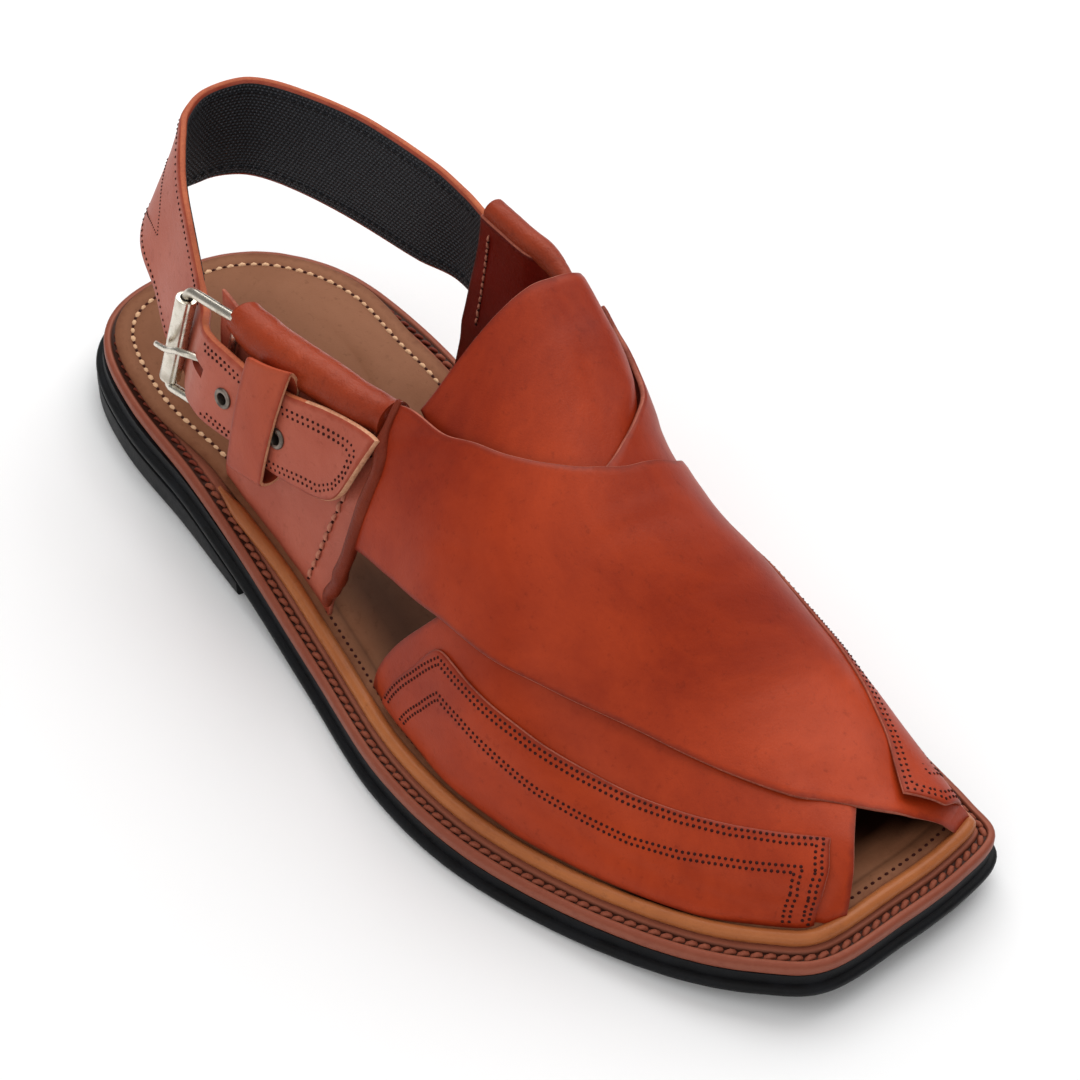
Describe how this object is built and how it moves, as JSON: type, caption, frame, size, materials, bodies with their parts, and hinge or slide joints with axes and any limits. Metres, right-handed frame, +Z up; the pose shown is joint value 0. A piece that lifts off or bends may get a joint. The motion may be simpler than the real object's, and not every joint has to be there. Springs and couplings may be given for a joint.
{
  "type": "peshawari chappal",
  "caption": "Closed-front leather sandal for the right foot, with two wide straps crossed over the forefoot, a low heel and a buckled heel strap.",
  "frame": {"origin": "on the floor, under the middle of the outsole's bounding box", "axes": "+X to the toe, +Y to the inner side of the foot, +Z up"},
  "size_m": [0.2976, 0.1159, 0.1001],
  "materials": {
    "cognac_leather": "smooth, polished cognac brown",
    "quarter_leather": "smooth red-brown, satin",
    "welt_leather": "matt red-brown",
    "footbed_leather": "matt mid brown",
    "piping_leather": "satin tan",
    "black_rubber": "matt black",
    "nickel": "warm nickel plate, lightly worn",
    "dark_metal": "dark oxidised eyelets"
  },
  "bodies": {
    "root": {"outsole": "black_rubber", "heel": "black_rubber", "midsole": "welt_leather", "insole": "footbed_leather", "piping": "piping_leather", "upper": "cognac_leather", "tongue": "cognac_leather", "outer_quarter": "quarter_leather", "inner_quarter": "quarter_leather", "heel_strap": "quarter_leather", "keeper": "quarter_leather", "buckle_frame": "nickel", "buckle_roller": "nickel", "buckle_prong": "nickel", "eyelet_1": "dark_metal", "eyelet_2": "dark_metal"}
  },
  "joints": []
}
